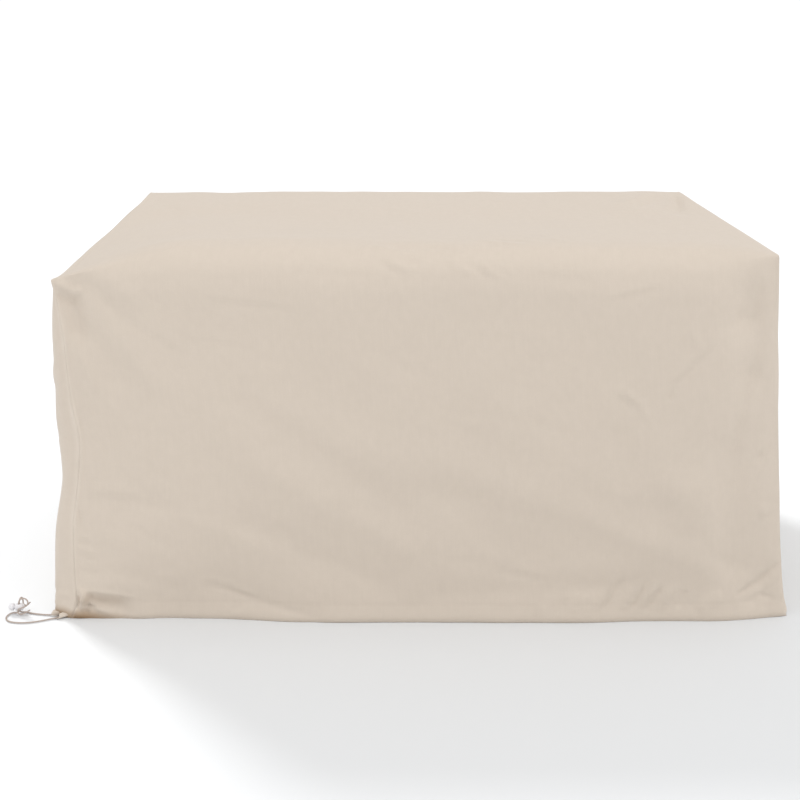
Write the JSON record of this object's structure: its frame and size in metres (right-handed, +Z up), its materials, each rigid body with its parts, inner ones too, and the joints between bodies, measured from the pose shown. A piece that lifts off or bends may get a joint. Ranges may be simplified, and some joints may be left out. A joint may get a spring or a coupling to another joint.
{
  "type": "outdoor sofa cover",
  "caption": "Fitted cloth cover for a two-seat outdoor sofa, sewn from a body panel and side panels, drawn in at the hem by a cord with a sprung cord lock",
  "frame": {"origin": "on the top of the sofa that the cover hangs over, at its middle, just under the cloth; the floor is 0.82 m below", "axes": "+X runs to the right along the sofa as seen from the front, +Y into its depth so the front faces -Y, +Z up"},
  "size_m": [1.6896, 0.8869, 0.8503],
  "materials": {
    "cover_cloth": "warm beige woven polyester with a dull water-repellent coat, fine upright weave",
    "drawcord": "braided round polyester cord, beige brown, dull",
    "lock_plastic": "white moulded plastic, slightly glossy"
  },
  "bodies": {
    "root": {"body_panel": "cover_cloth", "side_panel_left": "cover_cloth", "side_panel_right": "cover_cloth", "drawcord_back": "drawcord", "drawcord_front": "drawcord", "cord_lock_barrel": "lock_plastic"},
    "plunger": {"cord_lock_plunger": "lock_plastic"}
  },
  "joints": [
    {"name": "plunger_press", "type": "slide", "parent": "root", "child": "plunger", "axis": [1, 0, 0], "range_m": [0, 0.0035], "stiffness_N_per_m": 600, "springref_m": -0.003}
  ]
}
